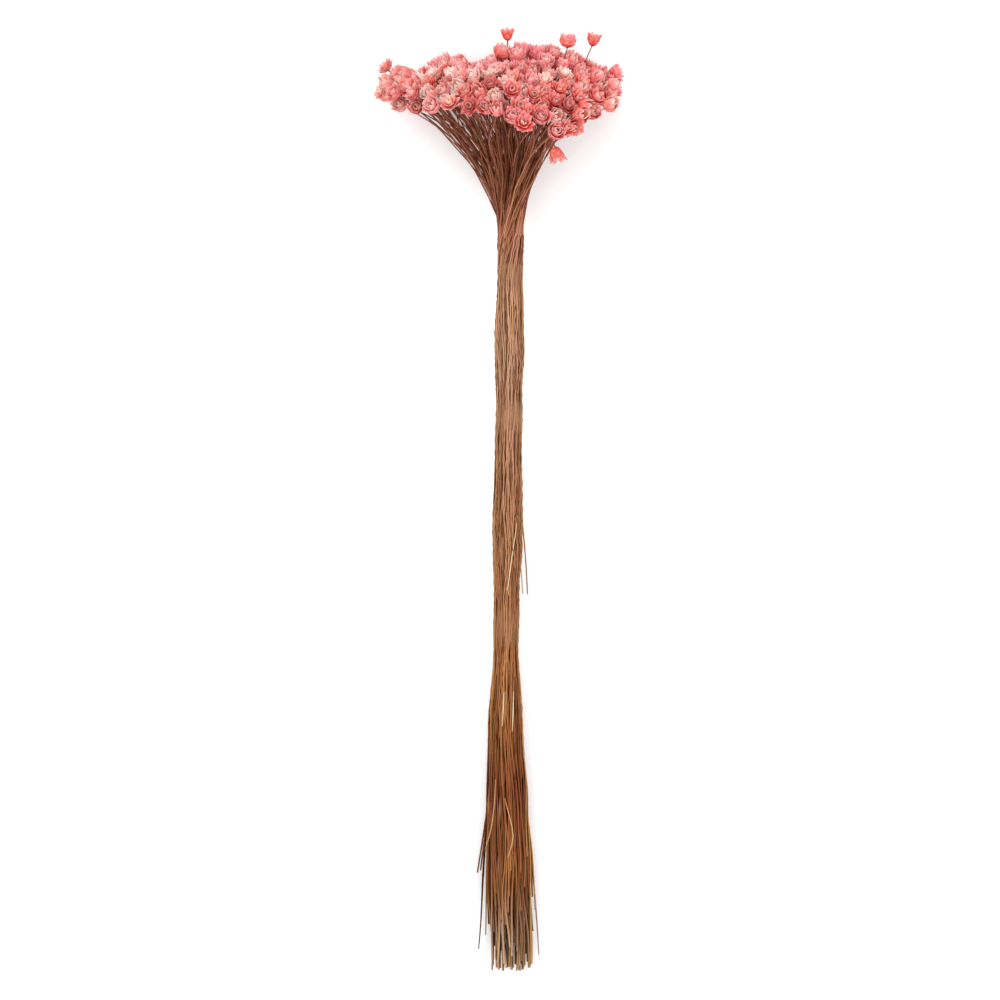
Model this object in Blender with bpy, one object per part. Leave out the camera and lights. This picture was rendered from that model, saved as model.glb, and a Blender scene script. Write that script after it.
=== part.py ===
# A tied bunch of dyed dried everlasting flowers, laid down on a surface.
# The bunch lies along Y with its head at +Y, +Z is up, and the surface is at z = 0.
# Many fine stems run side by side in a bundle, fan out like a trumpet, and carry
# small papery star-shaped blooms that make one wide flat-topped dome.

import math
import random

import bmesh
import bpy
from mathutils import Matrix, Vector

MM = 0.001
SEED_OF_PLACES = 1609
SEED_OF_STEMS = 21
SEED_OF_FORMS = 1693

# The bundle, from its cut ends to the waist under the fan, in mm:
# (place along Y, sideways place of its middle, half width)
BUNDLE_STATIONS = [
    (-245, 5.6, 11.9),
    (-200, 4.2, 12.2),
    (-160, 3.7, 11.2),
    (-121, 3.0, 9.3),
    (-80, 3.2, 6.7),
    (-56, 3.4, 6.8),
    (-18, 4.0, 8.0),
    (30, 4.6, 7.2),
    (50, 4.9, 6.9),
    (85, 5.0, 7.9),
    (118, 5.4, 6.7),
    (141, 5.6, 6.9),
    (160, 5.6, 7.4),
]
FOOT_Y = -247.0
FOOT_HEIGHT = 10.6
WAIST_Y = 141.0
WAIST_HEIGHT = 36.0
PRESSED = 0.93
PRESSED_AT_FOOT = 0.80

# The bundle's body, ribbed by the stems on its outside
BODY_START = -234.0
BODY_END = 152.0
BODY_SECTIONS = 15
BODY_RIBS = 18
RIB_DEPTH = 0.70
FOOT_OPENS_AT = -165.0
FOOT_CORE_SHARE = 0.70
NECK_TIP_SHARE = 0.80

# Single stems
STEM_RADIUS = 0.52
STEM_SIDES = 3
FAN_BEND = 2.0
BEND_TO_RIGHT = 0.0055
BEND_AT_RIM = 0.025
RIM_STARTS = 80.0
FAN_STEM_POINTS = 4
FAN_ROOT_Y = 143.0
FAN_ROOT_RADIUS = 4.8
FOOT_STEMS = 27
FOOT_STRAY_EVERY = 5
FOOT_STRAY_SPLAY = 0.26
LOOSE_STEM = [(10.5, -2.0, 24.0), (12.6, -16.0, 22.6), (14.0, -34.0, 21.6), (14.6, -50.0, 21.0)]
STEM_CLEARANCE = 2.0

# The dome of blooms, measured from the waist to the blooms' bases: flat on top, with a
# front that falls towards the viewer
DOME_TOP = 91.7
SIDE_DROP = 12.5
FRONT_DROP = 38.6
FRONT_SLANT = 0.18
BACK_DROP = 8.0
DOME_UNEVEN = 2.5
REACH_LEFT = 65.9
REACH_RIGHT = 55.6
REACH_UP = 69.0
# Dips and a swell along the dome's top: (sideways place, half width, height)
DOME_WAVES = [(-47.0, 22.0, -4.8), (-18.0, 17.0, -7.5), (18.0, 22.0, 2.8)]
WAVES_FADE = 35.0
RIM_ROUNDNESS = 2.5
LOWEST_BLOOM = 6.6
SETTLING = 3.2
PATTERN_POINTS = 370
PATTERN_RADIUS = 86.0
PATTERN_UNEVEN = 1.2
CORE_BELOW_BLOOMS = 4.6
CORE_THICKNESS = 3.0
CORE_SHARE = 0.78
CORE_RINGS = 5
CORE_SEGMENTS = 20
NECK_RADIUS = 0.62
NECK_SUNK = 1.4
RIM_MARGIN = 1.5

# Blooms, at the size of a middling one, in mm: (radius and height of the outer tips,
# the outer notches and the inner tips, height of the centre)
PETALS = 5
OPEN_STAR = ((5.7, 3.5), (3.8, 3.0), (3.3, 6.3), 3.5)
CROWN = ((4.8, 6.0), (3.9, 4.0), (3.0, 7.4), 3.8)
BUD = ((3.8, 3.6), (3.3, 3.2), None, 7.6)
STAR_SHARE = 0.40
BUD_SHARE = 0.26

# Blooms that stand clear of the dome, in mm: (place of the base, facing, form, size)
LOOSE_BLOOMS = [
    ((4.0, 242.0, 46.0), (0.0, 1.0, 0.10), CROWN, 1.06),
    ((35.5, 238.5, 42.0), (0.10, 1.0, 0.05), CROWN, 1.14),
    ((48.5, 239.5, 40.0), (0.25, 1.0, 0.10), CROWN, 1.06),
    ((-58.5, 226.5, 42.0), (-0.75, 0.8, 0.15), OPEN_STAR, 1.10),
    ((-60.0, 214.0, 52.0), (-0.80, 0.25, 0.45), OPEN_STAR, 1.00),
    ((-50.5, 206.5, 68.0), (-0.50, 0.10, 0.85), CROWN, 1.05),
    ((-42.0, 205.5, 74.0), (-0.35, 0.00, 0.95), CROWN, 1.10),
    ((58.0, 224.0, 44.0), (0.95, 0.45, 0.10), CROWN, 1.00),
    ((41.0, 205.5, 84.0), (0.90, -0.05, 0.40), CROWN, 1.05),
    ((28.5, 184.0, 88.6), (0.30, -1.0, 0.15), CROWN, 1.15),
    ((36.0, 196.0, 93.0), (0.55, -0.55, 0.75), OPEN_STAR, 1.25),
]

# Clear bands round the bundle: (name, middle along Y, width)
TIES = [
    ("tie_upper", 118.0, 13.0),
    ("tie_middle", 44.0, 18.0),
    ("tie_lower", -68.0, 22.0),
]
TIE_WALL = 0.6
TIE_GAP = 0.35
TIE_SIDES = 24

STEM_COLOUR = (0.190, 0.082, 0.040)
BLOOM_COLOUR = (0.800, 0.190, 0.150)
TIE_COLOUR = (0.780, 0.640, 0.520)

GOLDEN_ANGLE = math.pi * (3.0 - math.sqrt(5.0))


def clear_scene():
    for old in list(bpy.data.objects):
        bpy.data.objects.remove(old, do_unlink=True)


def make_material(name, colour, roughness):
    material = bpy.data.materials.new(name)
    material.use_nodes = True
    shader = material.node_tree.nodes["Principled BSDF"]
    shader.inputs["Base Color"].default_value = (*colour, 1.0)
    shader.inputs["Roughness"].default_value = roughness
    shader.inputs["Metallic"].default_value = 0.0
    material.diffuse_color = (*colour, 1.0)
    return material


def make_object(name, mesh_builder, material=None):
    mesh = bpy.data.meshes.new(name)
    bmesh.ops.triangulate(mesh_builder, faces=mesh_builder.faces)
    mesh_builder.to_mesh(mesh)
    mesh_builder.free()
    made = bpy.data.objects.new(name, mesh)
    bpy.context.scene.collection.objects.link(made)
    if material:
        mesh.materials.append(material)
    return made


# The bundle's middle line and width, read between the stations

def bundle_value(y, column):
    if y <= BUNDLE_STATIONS[0][0]:
        return BUNDLE_STATIONS[0][column]
    for before, after in zip(BUNDLE_STATIONS, BUNDLE_STATIONS[1:]):
        if y <= after[0]:
            share = (y - before[0]) / (after[0] - before[0])
            share = 0.5 - 0.5 * math.cos(math.pi * share)
            return before[column] + share * (after[column] - before[column])
    return BUNDLE_STATIONS[-1][column]


def bundle_middle(y):
    rise = (y - FOOT_Y) / (WAIST_Y - FOOT_Y)
    height = FOOT_HEIGHT + rise * (WAIST_HEIGHT - FOOT_HEIGHT)
    return Vector((bundle_value(y, 1), y, height))


def foot_share(y):
    """0 where the bundle is tied, 1 at the cut ends, where it splays."""
    share = (FOOT_OPENS_AT - y) / (FOOT_OPENS_AT - FOOT_Y)
    return min(1.0, max(0.0, share))


def pressed_share(y):
    return PRESSED + (PRESSED_AT_FOOT - PRESSED) * foot_share(y)


def bundle_surface(y, angle, radius_share=1.0):
    reach = bundle_value(y, 2) * radius_share
    sideways = math.cos(angle) * reach
    upwards = math.sin(angle) * reach * pressed_share(y)
    return bundle_middle(y) + Vector((sideways, 0.0, upwards))


def bundle_body():
    """The ribbed body: rings of ridges and furrows that drift round as stems do."""
    builder = bmesh.new()
    rings = []
    for section in range(BODY_SECTIONS):
        y = BODY_START + (BODY_END - BODY_START) * section / (BODY_SECTIONS - 1)
        share = 1.0 - (1.0 - FOOT_CORE_SHARE) * foot_share(y)
        if section == BODY_SECTIONS - 1:
            share = NECK_TIP_SHARE
        ring = []
        for step in range(2 * BODY_RIBS):
            angle = math.pi * step / BODY_RIBS + 0.0011 * y
            depth = RIB_DEPTH * (step % 2) + 0.25 * math.sin(5.0 * angle + 0.05 * y)
            reach = share - (depth + 0.25) / bundle_value(y, 2)
            ring.append(builder.verts.new(bundle_surface(y, angle, reach) * MM))
        rings.append(ring)
    for lower, upper in zip(rings, rings[1:]):
        for step in range(2 * BODY_RIBS):
            after = (step + 1) % (2 * BODY_RIBS)
            builder.faces.new((lower[step], upper[step], upper[after], lower[after]))
    builder.faces.new(rings[0])
    builder.faces.new(list(reversed(rings[-1])))
    bmesh.ops.recalc_face_normals(builder, faces=builder.faces)
    return builder


def tube(points, radius, sides=STEM_SIDES, turn=0.0):
    """A straight-sided stem along a path, with flat ends, in mm."""
    builder = bmesh.new()
    rings = []
    for place, point in enumerate(points):
        before = points[max(place - 1, 0)]
        after = points[min(place + 1, len(points) - 1)]
        along = (after - before).normalized()
        across = along.cross(Vector((0.0, 0.0, 1.0))).normalized()
        over = across.cross(along)
        ring = []
        for side in range(sides):
            angle = turn + 2.0 * math.pi * side / sides
            offset = across * math.cos(angle) + over * math.sin(angle)
            ring.append(builder.verts.new((point + offset * radius) * MM))
        rings.append(ring)
    for lower, upper in zip(rings, rings[1:]):
        for side in range(sides):
            after = (side + 1) % sides
            builder.faces.new((lower[side], lower[after], upper[after], upper[side]))
    builder.faces.new(list(reversed(rings[0])))
    builder.faces.new(rings[-1])
    bmesh.ops.recalc_face_normals(builder, faces=builder.faces)
    return builder


# Where the blooms sit, and the curved stem to each of them

def side_reach(sideways):
    return REACH_LEFT if sideways < 0 else REACH_RIGHT


def dome_height(sideways, upwards):
    """How far the dome stands over the waist here."""
    height = DOME_TOP - SIDE_DROP * (sideways / side_reach(sideways)) ** 2
    faded = min(1.0, max(0.0, 1.0 - upwards / WAVES_FADE))
    for middle, half_width, rise in DOME_WAVES:
        away = min(1.0, abs(sideways - middle) / half_width)
        height += faded * rise * 0.5 * (1.0 + math.cos(math.pi * away))
    if upwards > 0:
        return height - (FRONT_DROP + FRONT_SLANT * sideways) * (upwards / REACH_UP) ** 1.5
    return height - BACK_DROP * (upwards / (WAIST_HEIGHT - LOWEST_BLOOM)) ** 2


def rim_value(sideways, upwards):
    """1 on the dome's rounded rim, less inside it."""
    side = abs(sideways) / side_reach(sideways)
    front = max(upwards, 0.0) / REACH_UP
    return (side ** RIM_ROUNDNESS + front ** RIM_ROUNDNESS) ** (1.0 / RIM_ROUNDNESS)


def dome_edge(sideways, upwards):
    """How far the dome reaches across in this direction, given as a unit vector."""
    edge = 1.0 / max(rim_value(sideways, upwards), 0.001)
    if upwards < 0:
        edge = min(edge, (WAIST_HEIGHT - LOWEST_BLOOM) / -upwards)
    return edge


def dome_blooms():
    """An even spiral of places over the dome, kept above the surface it lies on."""
    draw = random.Random(SEED_OF_PLACES)
    places = []
    lowest = LOWEST_BLOOM - WAIST_HEIGHT
    for count in range(PATTERN_POINTS):
        reach = PATTERN_RADIUS * math.sqrt((count + 0.5) / PATTERN_POINTS)
        turn = count * GOLDEN_ANGLE
        sideways = math.cos(turn) * reach + draw.uniform(-PATTERN_UNEVEN, PATTERN_UNEVEN)
        upwards = math.sin(turn) * reach + draw.uniform(-PATTERN_UNEVEN, PATTERN_UNEVEN)
        uneven = draw.uniform(-DOME_UNEVEN, DOME_UNEVEN)
        if upwards < lowest - SETTLING or rim_value(sideways, upwards) > 1.0:
            continue
        if upwards < lowest + SETTLING:
            upwards = lowest
        places.append(Vector((sideways, dome_height(sideways, upwards) + uneven, upwards)))
    return places


def fan_bend(offset):
    """How late a stem turns outwards: later on the right and to the low rim in front."""
    return FAN_BEND + BEND_TO_RIGHT * offset.x + BEND_AT_RIM * max(0.0, RIM_STARTS - offset.y)


def stem_point(offset, share):
    """A point of the curved stem: share is 0 at the waist and 1 at the bloom's base."""
    across = Vector((offset.x, 0.0, offset.z))
    reach = across.length
    direction = across.normalized()
    root = FAN_ROOT_RADIUS * min(1.0, reach / dome_edge(direction.x, direction.z))
    outwards = root + (reach - root) * share ** fan_bend(offset)
    point = direction * outwards
    point.y = offset.y * share
    return point + bundle_middle(WAIST_Y)


def stem_heading(offset):
    return (stem_point(offset, 1.0) - stem_point(offset, 0.96)).normalized()


def share_at_depth(offset, depth):
    """How far along a stem it still lies this deep under the dome."""
    low = 0.3
    high = 1.0
    for _ in range(24):
        middle = 0.5 * (low + high)
        place = stem_point(offset, middle) - bundle_middle(WAIST_Y)
        if dome_height(place.x, place.z) - place.y > depth:
            low = middle
        else:
            high = middle
    return low


def core_edge(sideways, upwards):
    return CORE_SHARE * dome_edge(sideways, upwards)


def dome_core():
    """A thin shell under the blooms, which they stand out of."""
    builder = bmesh.new()
    waist = bundle_middle(WAIST_Y)
    layers = []
    for depth in (CORE_BELOW_BLOOMS, CORE_BELOW_BLOOMS + CORE_THICKNESS):
        rings = []
        for ring in range(CORE_RINGS + 1):
            points = []
            for segment in range(CORE_SEGMENTS):
                turn = 2.0 * math.pi * segment / CORE_SEGMENTS
                sideways = math.cos(turn)
                upwards = math.sin(turn)
                across = core_edge(sideways, upwards) * ring / CORE_RINGS
                place = Vector((sideways * across, 0.0, upwards * across))
                place.y = dome_height(place.x, place.z) - depth
                points.append((waist + place) * MM)
                if ring == 0:
                    break
            rings.append([builder.verts.new(point) for point in points])
        layers.append(rings)
    for rings in layers:
        for segment in range(CORE_SEGMENTS):
            after = (segment + 1) % CORE_SEGMENTS
            builder.faces.new((rings[0][0], rings[1][segment], rings[1][after]))
            for inner, outer in zip(rings[1:], rings[2:]):
                builder.faces.new((inner[segment], outer[segment], outer[after], inner[after]))
    for segment in range(CORE_SEGMENTS):
        after = (segment + 1) % CORE_SEGMENTS
        outside = layers[0][-1]
        inside = layers[1][-1]
        builder.faces.new((outside[segment], inside[segment], inside[after], outside[after]))
    bmesh.ops.recalc_face_normals(builder, faces=builder.faces)
    return builder


def core_root(offset):
    """Where a bloom's neck is sunk in the core: under it, or in the core's rim."""
    across = math.hypot(offset.x, offset.z)
    edge = core_edge(offset.x / across, offset.z / across) - RIM_MARGIN
    if across > edge:
        root = Vector((offset.x, 0.0, offset.z)) * (edge / across)
        root.y = dome_height(root.x, root.z) - CORE_BELOW_BLOOMS - NECK_SUNK
        return root + bundle_middle(WAIST_Y)
    return stem_point(offset, share_at_depth(offset, CORE_BELOW_BLOOMS + NECK_SUNK))


def bloom(base, facing, root, form, size, turn):
    """One bloom: a slim neck, a cup, an outer whorl of points and an inner one."""
    outer_tip, outer_notch, inner_tip, centre_height = form
    builder = bmesh.new()
    facing = facing.normalized()
    across = facing.cross(Vector((0.0, 0.3, 1.0))).normalized()
    over = across.cross(facing)

    def point(radius, angle, height):
        offset = across * math.cos(angle) + over * math.sin(angle)
        return (base + (offset * radius + facing * height) * size) * MM

    step = math.pi / PETALS
    neck_low = []
    neck_high = []
    for side in range(3):
        angle = turn + 2.0 * math.pi * side / 3
        offset = across * math.cos(angle) + over * math.sin(angle)
        neck_low.append(builder.verts.new((root + offset * NECK_RADIUS) * MM))
        neck_high.append(builder.verts.new((base + offset * NECK_RADIUS * 1.5) * MM))
    outer = []
    inner = []
    for count in range(2 * PETALS):
        angle = turn + count * step
        radius, height = outer_notch if count % 2 else outer_tip
        outer.append(builder.verts.new(point(radius, angle, height)))
        if inner_tip and count % 2:
            radius, height = inner_tip
            inner.append(builder.verts.new(point(radius, angle, height)))
    centre = builder.verts.new(point(0.0, 0.0, centre_height))

    builder.faces.new(neck_low)
    for side in range(3):
        after = (side + 1) % 3
        builder.faces.new((neck_low[side], neck_low[after], neck_high[after], neck_high[side]))
        first = round(2 * PETALS * side / 3)
        last = round(2 * PETALS * (side + 1) / 3)
        for count in range(first, last):
            shared = outer[(count + 1) % (2 * PETALS)]
            builder.faces.new((neck_high[side], outer[count], shared))
        builder.faces.new((neck_high[side], outer[last % (2 * PETALS)], neck_high[after]))
    for petal in range(PETALS):
        tip = outer[2 * petal]
        notch = outer[2 * petal + 1]
        next_tip = outer[(2 * petal + 2) % (2 * PETALS)]
        if inner_tip:
            standing = inner[petal]
            next_standing = inner[(petal + 1) % PETALS]
            builder.faces.new((tip, notch, standing))
            builder.faces.new((notch, next_tip, standing))
            builder.faces.new((next_tip, next_standing, standing))
            builder.faces.new((standing, next_standing, centre))
        else:
            builder.faces.new((tip, notch, centre))
            builder.faces.new((notch, next_tip, centre))
    bmesh.ops.recalc_face_normals(builder, faces=builder.faces)
    return builder


def fuse(body, pieces):
    """Joins the pieces to the body in one union, and keeps the one outer body."""
    group = bpy.data.collections.new(body.name + "_pieces")
    bpy.context.scene.collection.children.link(group)
    for piece in pieces:
        group.objects.link(piece)
    union = body.modifiers.new("union", "BOOLEAN")
    union.operation = "UNION"
    union.operand_type = "COLLECTION"
    union.collection = group
    union.solver = "MANIFOLD"
    bpy.context.view_layer.update()
    graph = bpy.context.evaluated_depsgraph_get()
    joined = bpy.data.meshes.new_from_object(body.evaluated_get(graph))
    body.modifiers.clear()
    body.data = joined
    for piece in pieces:
        bpy.data.objects.remove(piece, do_unlink=True)
    bpy.data.collections.remove(group)
    keep_outer_body(joined)


def keep_outer_body(mesh):
    """Drops loose scraps and the walls of any hollow that the union sealed."""
    builder = bmesh.new()
    builder.from_mesh(mesh)
    unseen = set(builder.verts)
    bodies = []
    while unseen:
        front = [unseen.pop()]
        found = list(front)
        while front:
            vert = front.pop()
            for edge in vert.link_edges:
                other = edge.other_vert(vert)
                if other in unseen:
                    unseen.discard(other)
                    front.append(other)
                    found.append(other)
        bodies.append(found)
    bodies.sort(key=len, reverse=True)
    for scrap in bodies[1:]:
        bmesh.ops.delete(builder, geom=scrap, context="VERTS")
    bmesh.ops.triangulate(builder, faces=builder.faces)
    builder.to_mesh(mesh)
    builder.free()
    mesh.update()


def tie_band(middle, width):
    """A thin sleeve that goes round the bundle, just clear of it."""
    ends = [middle - 0.5 * width, middle + 0.5 * width]
    widest = max(bundle_value(middle + width * (step / 8 - 0.5), 2) for step in range(9))
    builder = bmesh.new()
    loops = []
    for radius in (widest + TIE_GAP, widest + TIE_GAP + TIE_WALL):
        for y in ends:
            centre = bundle_middle(y)
            loop = []
            for side in range(TIE_SIDES):
                angle = 2.0 * math.pi * side / TIE_SIDES
                reach = radius / math.cos(math.pi / TIE_SIDES)
                offset = Vector((math.cos(angle) * reach, 0.0,
                                 math.sin(angle) * reach * PRESSED))
                loop.append(builder.verts.new((centre + offset) * MM))
            loops.append(loop)
    for first, second in ((0, 1), (2, 3), (0, 2), (1, 3)):
        for side in range(TIE_SIDES):
            after = (side + 1) % TIE_SIDES
            builder.faces.new((loops[first][side], loops[first][after],
                               loops[second][after], loops[second][side]))
    bmesh.ops.recalc_face_normals(builder, faces=builder.faces)
    return builder


def foot_stem(draw, count):
    """A stem of the splayed cut end, rooted in the body and cut at its own length."""
    angle = 2.0 * math.pi * (count + draw.uniform(-0.2, 0.2)) / FOOT_STEMS
    end = FOOT_Y + draw.uniform(-4.5, 5.0)
    start = FOOT_OPENS_AT + draw.uniform(0.0, 18.0)
    spread = draw.uniform(0.72, 0.96)
    if count % FOOT_STRAY_EVERY == 0 and math.sin(angle) > -0.3:
        spread += FOOT_STRAY_SPLAY
    points = []
    for step in range(4):
        y = start + (end - start) * step / 3
        reach = 0.80 + (spread - 0.80) * step / 3
        points.append(bundle_surface(y, angle + 0.04 * step, reach))
    return tube(points, STEM_RADIUS, turn=angle)


def make_stems(offsets, material):
    draw = random.Random(SEED_OF_STEMS)
    body = make_object("stems", bundle_body(), material)
    pieces = []
    for count in range(FOOT_STEMS):
        pieces.append(make_object("foot", foot_stem(draw, count)))
    loose = [Vector(place) for place in LOOSE_STEM]
    pieces.append(make_object("loose", tube(loose, STEM_RADIUS)))
    for offset in offsets[::2]:
        top = share_at_depth(offset, CORE_BELOW_BLOOMS + CORE_THICKNESS + STEM_CLEARANCE)
        low = (FAN_ROOT_Y - WAIST_Y) / offset.y
        points = [stem_point(offset, low + (top - low) * step / FAN_STEM_POINTS)
                  for step in range(FAN_STEM_POINTS + 1)]
        pieces.append(make_object("fan", tube(points, STEM_RADIUS, turn=draw.uniform(0, 2))))
    fuse(body, pieces)
    return body


def bloom_form(draw):
    pick = draw.random()
    if pick < BUD_SHARE:
        return BUD
    return OPEN_STAR if pick < BUD_SHARE + STAR_SHARE else CROWN


def make_blooms(offsets, material):
    draw = random.Random(SEED_OF_FORMS)
    body = make_object("blooms", dome_core(), material)
    waist = bundle_middle(WAIST_Y)
    pieces = []
    for offset in offsets:
        base = stem_point(offset, 1.0)
        facing = stem_heading(offset)
        facing += Vector([draw.uniform(-0.22, 0.22) for _ in range(3)])
        if base.z < LOWEST_BLOOM + 1.0:
            facing.z = max(facing.z, 0.0)
        form = bloom_form(draw)
        size = draw.uniform(0.94, 1.22)
        turn = draw.uniform(0.0, math.pi)
        made = bloom(base, facing, core_root(offset), form, size, turn)
        pieces.append(make_object("bloom", made))
    for place, facing, form, size in LOOSE_BLOOMS:
        base = Vector(place)
        root = core_root(base - waist)
        made = bloom(base, Vector(facing), root, form, size, draw.uniform(0.0, 3.0))
        pieces.append(make_object("bloom", made))
    fuse(body, pieces)
    return body


def lay_down(objects):
    """Tips the bunch until its head and its cut ends both touch the surface."""
    verts = [vert.co for made in objects for vert in made.data.vertices]
    head = min((point for point in verts if point.y > 0.0), key=lambda point: point.z)
    foot = min((point for point in verts if point.y < 0.0), key=lambda point: point.z)
    tip = Matrix.Rotation(math.atan2(foot.z - head.z, head.y - foot.y), 4, "X")
    for made in objects:
        made.data.transform(tip)


def stand_on_origin(objects):
    """Moves the meshes so that the whole bunch is centred and rests on z = 0."""
    low = [min(vert.co[axis] for made in objects for vert in made.data.vertices)
           for axis in range(3)]
    high = [max(vert.co[axis] for made in objects for vert in made.data.vertices)
            for axis in range(3)]
    shift = Vector((-0.5 * (low[0] + high[0]), -0.5 * (low[1] + high[1]), -low[2]))
    for made in objects:
        made.data.transform(Matrix.Translation(shift))


def build():
    clear_scene()
    offsets = dome_blooms()
    stem_material = make_material("stem_brown", STEM_COLOUR, 0.72)
    bloom_material = make_material("petal_coral", BLOOM_COLOUR, 0.60)
    tie_material = make_material("band_clear", TIE_COLOUR, 0.30)
    objects = [make_stems(offsets, stem_material), make_blooms(offsets, bloom_material)]
    for name, middle, width in TIES:
        band = make_object(name, tie_band(middle, width), tie_material)
        band.data.shade_smooth()
        band.data.set_sharp_from_angle(angle=math.radians(40))
        objects.append(band)
    lay_down(objects)
    stand_on_origin(objects)


build()
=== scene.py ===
import math
import random
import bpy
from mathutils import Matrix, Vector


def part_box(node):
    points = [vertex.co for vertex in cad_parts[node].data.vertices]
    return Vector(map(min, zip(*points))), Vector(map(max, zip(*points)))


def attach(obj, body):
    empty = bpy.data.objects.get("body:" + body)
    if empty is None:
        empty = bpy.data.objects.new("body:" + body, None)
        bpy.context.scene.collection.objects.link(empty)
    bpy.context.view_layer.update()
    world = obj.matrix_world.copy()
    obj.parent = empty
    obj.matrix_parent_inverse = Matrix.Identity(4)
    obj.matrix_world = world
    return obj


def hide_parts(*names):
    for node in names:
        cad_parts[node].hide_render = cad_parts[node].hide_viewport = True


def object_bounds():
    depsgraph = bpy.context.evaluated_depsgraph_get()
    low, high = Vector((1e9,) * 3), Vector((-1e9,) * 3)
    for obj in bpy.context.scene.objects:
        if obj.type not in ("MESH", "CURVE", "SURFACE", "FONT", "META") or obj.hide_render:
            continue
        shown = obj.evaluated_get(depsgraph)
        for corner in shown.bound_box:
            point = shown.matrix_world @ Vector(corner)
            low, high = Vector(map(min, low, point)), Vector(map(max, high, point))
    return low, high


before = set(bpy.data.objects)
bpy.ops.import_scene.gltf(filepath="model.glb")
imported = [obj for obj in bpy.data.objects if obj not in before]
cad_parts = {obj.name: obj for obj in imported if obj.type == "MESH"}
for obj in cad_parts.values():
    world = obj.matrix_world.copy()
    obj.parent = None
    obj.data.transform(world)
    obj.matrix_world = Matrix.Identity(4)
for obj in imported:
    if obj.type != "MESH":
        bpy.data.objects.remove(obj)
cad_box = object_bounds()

from types import SimpleNamespace

import bmesh
import bpy
from mathutils import Matrix, Quaternion, Vector, geometry, noise

# Stems
# About 270 fine dried flower stems, dyed brown, each cut whole from its plant. They lie side
# by side in a tight bundle, wind round each other at the neck and fan out, most to a bloom.
# They end in ragged cuts. Lengths here are in mm, in the plan that the bunch is laid out on.

MM = 0.001
# The bundle along its length: (place along it, sideways place, half width)
BUNDLE_STATIONS = [
    (-245, 5.6, 11.9),
    (-200, 4.2, 12.2),
    (-160, 3.7, 11.2),
    (-121, 3.0, 9.3),
    (-80, 3.2, 6.7),
    (-56, 3.4, 6.8),
    (-18, 4.0, 8.0),
    (30, 4.6, 7.2),
    (50, 4.9, 6.9),
    (85, 5.0, 7.9),
    (118, 5.4, 6.7),
    (141, 5.6, 6.9),
    (160, 5.6, 7.4),
]
FOOT_Y = -247.0
FOOT_HEIGHT = 10.6
FOOT_OPENS_AT = -165.0
WAIST_Y = 141.0
WAIST_HEIGHT = 36.0
PRESSED = 0.93
PRESSED_AT_FOOT = 0.80
UPPER_BAND_Y = 118.0
LOWER_BAND_Y = -68.0
FLOOR_SOFTNESS = 0.0009


def clamped(value):
    return min(1.0, max(0.0, value))


def eased(value):
    """0 to 1 with a soft start and a soft end."""
    value = clamped(value)
    return value * value * (3.0 - 2.0 * value)


def bundle_value(y, column):
    """The bundle's sideways place (column 1) or half width (column 2), between stations."""
    if y <= BUNDLE_STATIONS[0][0]:
        return BUNDLE_STATIONS[0][column]
    for before, after in zip(BUNDLE_STATIONS, BUNDLE_STATIONS[1:]):
        if y <= after[0]:
            share = (y - before[0]) / (after[0] - before[0])
            share = 0.5 - 0.5 * math.cos(math.pi * share)
            return before[column] + share * (after[column] - before[column])
    return BUNDLE_STATIONS[-1][column]


def bundle_middle(y):
    rise = (y - FOOT_Y) / (WAIST_Y - FOOT_Y)
    height = FOOT_HEIGHT + rise * (WAIST_HEIGHT - FOOT_HEIGHT)
    return Vector((bundle_value(y, 1), y, height))


def foot_share(y):
    """0 where the bundle is tied, 1 at the cut ends, where it splays."""
    return clamped((FOOT_OPENS_AT - y) / (FOOT_OPENS_AT - FOOT_Y))


def kept_in_place(place):
    """Presses what would go through the surface flat against it, and keeps within the solids' box."""
    low, high = cad_box
    height = place.z
    if height < FLOOR_SOFTNESS:
        height = FLOOR_SOFTNESS * math.exp((height - FLOOR_SOFTNESS) / FLOOR_SOFTNESS)
    return Vector((min(max(place.x, low.x), high.x), min(max(place.y, low.y), high.y),
                   min(height, high.z)))


def band_middle(node):
    low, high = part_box(node)
    return 0.5 * (low + high)


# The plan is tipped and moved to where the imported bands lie, which gives metres in the frame.
planned_line = bundle_middle(UPPER_BAND_Y) - bundle_middle(LOWER_BAND_Y)
packed_line = band_middle("tie_upper") - band_middle("tie_lower")
tipped = math.atan2(packed_line.z, packed_line.y) - math.atan2(planned_line.z, planned_line.y)
LAID = Matrix.Rotation(tipped, 4, "X") @ Matrix.Scale(MM, 4)
LAID = Matrix.Translation(band_middle("tie_upper") - LAID @ bundle_middle(UPPER_BAND_Y)) @ LAID

DOME_TOP = 91.7
SIDE_DROP = 12.5
FRONT_DROP = 38.6
FRONT_SLANT = 0.18
BACK_DROP = 8.0
DOME_UNEVEN = 2.5
# Dips and a swell along the dome's top: (sideways place, half width, height)
DOME_WAVES = [(-47.0, 22.0, -4.8), (-18.0, 17.0, -7.5), (18.0, 22.0, 2.8)]
WAVES_FADE = 35.0
REACH_LEFT = 65.9
REACH_RIGHT = 55.6
REACH_UP = 69.0
RIM_ROUNDNESS = 2.5
LOWEST_BLOOM = 6.6
SETTLING = 3.2
PATTERN_POINTS = 370
PATTERN_RADIUS = 86.0
PATTERN_UNEVEN = 1.2
GOLDEN_ANGLE = math.pi * (3.0 - math.sqrt(5.0))
FAN_BEND = 2.0
BEND_TO_RIGHT = 0.0055
BEND_AT_RIM = 0.025
RIM_STARTS = 80.0
FAN_ROOT_RADIUS = 4.8
SEED_OF_PLACES = 1609
SEED_OF_FORMS = 1693


def side_reach(sideways):
    return REACH_LEFT if sideways < 0 else REACH_RIGHT


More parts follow.
